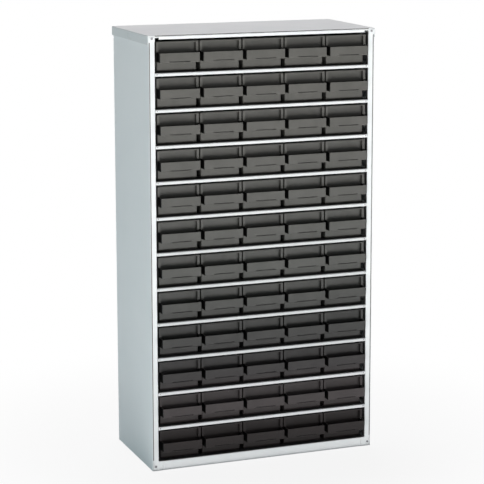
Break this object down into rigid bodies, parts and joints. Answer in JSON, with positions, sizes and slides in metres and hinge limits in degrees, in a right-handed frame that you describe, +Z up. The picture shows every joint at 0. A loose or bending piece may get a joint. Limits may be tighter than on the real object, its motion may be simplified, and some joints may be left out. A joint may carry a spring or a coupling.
{
  "type": "parts bin cabinet",
  "caption": "Tall sheet-steel parts cabinet with rows of small dark plastic drawers, each with a full-width finger grip, sliding on thin lipped shelves.",
  "frame": {"origin": "on the surface that the cabinet stands on, under the middle of the box round the cabinet and its drawer grips", "axes": "+X to the right along the front, +Y from the front to the back, +Z up; the drawers pull out along -Y"},
  "size_m": [0.306, 0.1568, 0.555],
  "materials": {
    "painted_steel": "light grey powder coat, satin",
    "drawer_plastic": "dark grey moulded plastic, satin",
    "guide_plastic": "black moulded plastic",
    "zinc_plate": "zinc plated"
  },
  "bodies": {
    "cabinet": {"left_side_panel": "painted_steel", "right_side_panel": "painted_steel", "top_cap": "painted_steel", "top_panel": "painted_steel", "base_panel": "painted_steel", "back_panel": "painted_steel", "shelves": "painted_steel", "guide_strips": "guide_plastic", "shelf_rivets": "painted_steel", "corner_screws": "zinc_plate", "back_screws": "zinc_plate"},
    "drawer_row1_column1": {"drawer_row1_column1": "drawer_plastic"},
    "drawer_row1_column2": {"drawer_row1_column2": "drawer_plastic"},
    "drawer_row1_column3": {"drawer_row1_column3": "drawer_plastic"},
    "drawer_row1_column4": {"drawer_row1_column4": "drawer_plastic"},
    "drawer_row1_column5": {"drawer_row1_column5": "drawer_plastic"},
    "drawer_row2_column1": {"drawer_row2_column1": "drawer_plastic"},
    "drawer_row2_column2": {"drawer_row2_column2": "drawer_plastic"},
    "drawer_row2_column3": {"drawer_row2_column3": "drawer_plastic"},
    "drawer_row2_column4": {"drawer_row2_column4": "drawer_plastic"},
    "drawer_row2_column5": {"drawer_row2_column5": "drawer_plastic"},
    "drawer_row3_column1": {"drawer_row3_column1": "drawer_plastic"},
    "drawer_row3_column2": {"drawer_row3_column2": "drawer_plastic"},
    "drawer_row3_column3": {"drawer_row3_column3": "drawer_plastic"},
    "drawer_row3_column4": {"drawer_row3_column4": "drawer_plastic"},
    "drawer_row3_column5": {"drawer_row3_column5": "drawer_plastic"},
    "drawer_row4_column1": {"drawer_row4_column1": "drawer_plastic"},
    "drawer_row4_column2": {"drawer_row4_column2": "drawer_plastic"},
    "drawer_row4_column3": {"drawer_row4_column3": "drawer_plastic"},
    "drawer_row4_column4": {"drawer_row4_column4": "drawer_plastic"},
    "drawer_row4_column5": {"drawer_row4_column5": "drawer_plastic"},
    "drawer_row5_column1": {"drawer_row5_column1": "drawer_plastic"},
    "drawer_row5_column2": {"drawer_row5_column2": "drawer_plastic"},
    "drawer_row5_column3": {"drawer_row5_column3": "drawer_plastic"},
    "drawer_row5_column4": {"drawer_row5_column4": "drawer_plastic"},
    "drawer_row5_column5": {"drawer_row5_column5": "drawer_plastic"},
    "drawer_row6_column1": {"drawer_row6_column1": "drawer_plastic"},
    "drawer_row6_column2": {"drawer_row6_column2": "drawer_plastic"},
    "drawer_row6_column3": {"drawer_row6_column3": "drawer_plastic"},
    "drawer_row6_column4": {"drawer_row6_column4": "drawer_plastic"},
    "drawer_row6_column5": {"drawer_row6_column5": "drawer_plastic"},
    "drawer_row7_column1": {"drawer_row7_column1": "drawer_plastic"},
    "drawer_row7_column2": {"drawer_row7_column2": "drawer_plastic"},
    "drawer_row7_column3": {"drawer_row7_column3": "drawer_plastic"},
    "drawer_row7_column4": {"drawer_row7_column4": "drawer_plastic"},
    "drawer_row7_column5": {"drawer_row7_column5": "drawer_plastic"},
    "drawer_row8_column1": {"drawer_row8_column1": "drawer_plastic"},
    "drawer_row8_column2": {"drawer_row8_column2": "drawer_plastic"},
    "drawer_row8_column3": {"drawer_row8_column3": "drawer_plastic"},
    "drawer_row8_column4": {"drawer_row8_column4": "drawer_plastic"},
    "drawer_row8_column5": {"drawer_row8_column5": "drawer_plastic"},
    "drawer_row9_column1": {"drawer_row9_column1": "drawer_plastic"},
    "drawer_row9_column2": {"drawer_row9_column2": "drawer_plastic"},
    "drawer_row9_column3": {"drawer_row9_column3": "drawer_plastic"},
    "drawer_row9_column4": {"drawer_row9_column4": "drawer_plastic"},
    "drawer_row9_column5": {"drawer_row9_column5": "drawer_plastic"},
    "drawers_row10": {"drawers_row10": "drawer_plastic"},
    "drawers_row11": {"drawers_row11": "drawer_plastic"},
    "drawers_row12": {"drawers_row12": "drawer_plastic"}
  },
  "joints": [
    {"name": "slide_row1_column1", "type": "slide", "parent": "cabinet", "child": "drawer_row1_column1", "axis": [0, -1, 0], "range_m": [0, 0.11]},
    {"name": "slide_row1_column2", "type": "slide", "parent": "cabinet", "child": "drawer_row1_column2", "axis": [0, -1, 0], "range_m": [0, 0.11]},
    {"name": "slide_row1_column3", "type": "slide", "parent": "cabinet", "child": "drawer_row1_column3", "axis": [0, -1, 0], "range_m": [0, 0.11]},
    {"name": "slide_row1_column4", "type": "slide", "parent": "cabinet", "child": "drawer_row1_column4", "axis": [0, -1, 0], "range_m": [0, 0.11]},
    {"name": "slide_row1_column5", "type": "slide", "parent": "cabinet", "child": "drawer_row1_column5", "axis": [0, -1, 0], "range_m": [0, 0.11]},
    {"name": "slide_row2_column1", "type": "slide", "parent": "cabinet", "child": "drawer_row2_column1", "axis": [0, -1, 0], "range_m": [0, 0.11]},
    {"name": "slide_row2_column2", "type": "slide", "parent": "cabinet", "child": "drawer_row2_column2", "axis": [0, -1, 0], "range_m": [0, 0.11]},
    {"name": "slide_row2_column3", "type": "slide", "parent": "cabinet", "child": "drawer_row2_column3", "axis": [0, -1, 0], "range_m": [0, 0.11]},
    {"name": "slide_row2_column4", "type": "slide", "parent": "cabinet", "child": "drawer_row2_column4", "axis": [0, -1, 0], "range_m": [0, 0.11]},
    {"name": "slide_row2_column5", "type": "slide", "parent": "cabinet", "child": "drawer_row2_column5", "axis": [0, -1, 0], "range_m": [0, 0.11]},
    {"name": "slide_row3_column1", "type": "slide", "parent": "cabinet", "child": "drawer_row3_column1", "axis": [0, -1, 0], "range_m": [0, 0.11]},
    {"name": "slide_row3_column2", "type": "slide", "parent": "cabinet", "child": "drawer_row3_column2", "axis": [0, -1, 0], "range_m": [0, 0.11]},
    {"name": "slide_row3_column3", "type": "slide", "parent": "cabinet", "child": "drawer_row3_column3", "axis": [0, -1, 0], "range_m": [0, 0.11]},
    {"name": "slide_row3_column4", "type": "slide", "parent": "cabinet", "child": "drawer_row3_column4", "axis": [0, -1, 0], "range_m": [0, 0.11]},
    {"name": "slide_row3_column5", "type": "slide", "parent": "cabinet", "child": "drawer_row3_column5", "axis": [0, -1, 0], "range_m": [0, 0.11]},
    {"name": "slide_row4_column1", "type": "slide", "parent": "cabinet", "child": "drawer_row4_column1", "axis": [0, -1, 0], "range_m": [0, 0.11]},
    {"name": "slide_row4_column2", "type": "slide", "parent": "cabinet", "child": "drawer_row4_column2", "axis": [0, -1, 0], "range_m": [0, 0.11]},
    {"name": "slide_row4_column3", "type": "slide", "parent": "cabinet", "child": "drawer_row4_column3", "axis": [0, -1, 0], "range_m": [0, 0.11]},
    {"name": "slide_row4_column4", "type": "slide", "parent": "cabinet", "child": "drawer_row4_column4", "axis": [0, -1, 0], "range_m": [0, 0.11]},
    {"name": "slide_row4_column5", "type": "slide", "parent": "cabinet", "child": "drawer_row4_column5", "axis": [0, -1, 0], "range_m": [0, 0.11]},
    {"name": "slide_row5_column1", "type": "slide", "parent": "cabinet", "child": "drawer_row5_column1", "axis": [0, -1, 0], "range_m": [0, 0.11]},
    {"name": "slide_row5_column2", "type": "slide", "parent": "cabinet", "child": "drawer_row5_column2", "axis": [0, -1, 0], "range_m": [0, 0.11]},
    {"name": "slide_row5_column3", "type": "slide", "parent": "cabinet", "child": "drawer_row5_column3", "axis": [0, -1, 0], "range_m": [0, 0.11]},
    {"name": "slide_row5_column4", "type": "slide", "parent": "cabinet", "child": "drawer_row5_column4", "axis": [0, -1, 0], "range_m": [0, 0.11]},
    {"name": "slide_row5_column5", "type": "slide", "parent": "cabinet", "child": "drawer_row5_column5", "axis": [0, -1, 0], "range_m": [0, 0.11]},
    {"name": "slide_row6_column1", "type": "slide", "parent": "cabinet", "child": "drawer_row6_column1", "axis": [0, -1, 0], "range_m": [0, 0.11]},
    {"name": "slide_row6_column2", "type": "slide", "parent": "cabinet", "child": "drawer_row6_column2", "axis": [0, -1, 0], "range_m": [0, 0.11]},
    {"name": "slide_row6_column3", "type": "slide", "parent": "cabinet", "child": "drawer_row6_column3", "axis": [0, -1, 0], "range_m": [0, 0.11]},
    {"name": "slide_row6_column4", "type": "slide", "parent": "cabinet", "child": "drawer_row6_column4", "axis": [0, -1, 0], "range_m": [0, 0.11]},
    {"name": "slide_row6_column5", "type": "slide", "parent": "cabinet", "child": "drawer_row6_column5", "axis": [0, -1, 0], "range_m": [0, 0.11]},
    {"name": "slide_row7_column1", "type": "slide", "parent": "cabinet", "child": "drawer_row7_column1", "axis": [0, -1, 0], "range_m": [0, 0.11]},
    {"name": "slide_row7_column2", "type": "slide", "parent": "cabinet", "child": "drawer_row7_column2", "axis": [0, -1, 0], "range_m": [0, 0.11]},
    {"name": "slide_row7_column3", "type": "slide", "parent": "cabinet", "child": "drawer_row7_column3", "axis": [0, -1, 0], "range_m": [0, 0.11]},
    {"name": "slide_row7_column4", "type": "slide", "parent": "cabinet", "child": "drawer_row7_column4", "axis": [0, -1, 0], "range_m": [0, 0.11]},
    {"name": "slide_row7_column5", "type": "slide", "parent": "cabinet", "child": "drawer_row7_column5", "axis": [0, -1, 0], "range_m": [0, 0.11]},
    {"name": "slide_row8_column1", "type": "slide", "parent": "cabinet", "child": "drawer_row8_column1", "axis": [0, -1, 0], "range_m": [0, 0.11]},
    {"name": "slide_row8_column2", "type": "slide", "parent": "cabinet", "child": "drawer_row8_column2", "axis": [0, -1, 0], "range_m": [0, 0.11]},
    {"name": "slide_row8_column3", "type": "slide", "parent": "cabinet", "child": "drawer_row8_column3", "axis": [0, -1, 0], "range_m": [0, 0.11]},
    {"name": "slide_row8_column4", "type": "slide", "parent": "cabinet", "child": "drawer_row8_column4", "axis": [0, -1, 0], "range_m": [0, 0.11]},
    {"name": "slide_row8_column5", "type": "slide", "parent": "cabinet", "child": "drawer_row8_column5", "axis": [0, -1, 0], "range_m": [0, 0.11]},
    {"name": "slide_row9_column1", "type": "slide", "parent": "cabinet", "child": "drawer_row9_column1", "axis": [0, -1, 0], "range_m": [0, 0.11]},
    {"name": "slide_row9_column2", "type": "slide", "parent": "cabinet", "child": "drawer_row9_column2", "axis": [0, -1, 0], "range_m": [0, 0.11]},
    {"name": "slide_row9_column3", "type": "slide", "parent": "cabinet", "child": "drawer_row9_column3", "axis": [0, -1, 0], "range_m": [0, 0.11]},
    {"name": "slide_row9_column4", "type": "slide", "parent": "cabinet", "child": "drawer_row9_column4", "axis": [0, -1, 0], "range_m": [0, 0.11]},
    {"name": "slide_row9_column5", "type": "slide", "parent": "cabinet", "child": "drawer_row9_column5", "axis": [0, -1, 0], "range_m": [0, 0.11]},
    {"name": "slide_row10", "type": "slide", "parent": "cabinet", "child": "drawers_row10", "axis": [0, -1, 0], "range_m": [0, 0.11]},
    {"name": "slide_row11", "type": "slide", "parent": "cabinet", "child": "drawers_row11", "axis": [0, -1, 0], "range_m": [0, 0.11]},
    {"name": "slide_row12", "type": "slide", "parent": "cabinet", "child": "drawers_row12", "axis": [0, -1, 0], "range_m": [0, 0.11]}
  ]
}
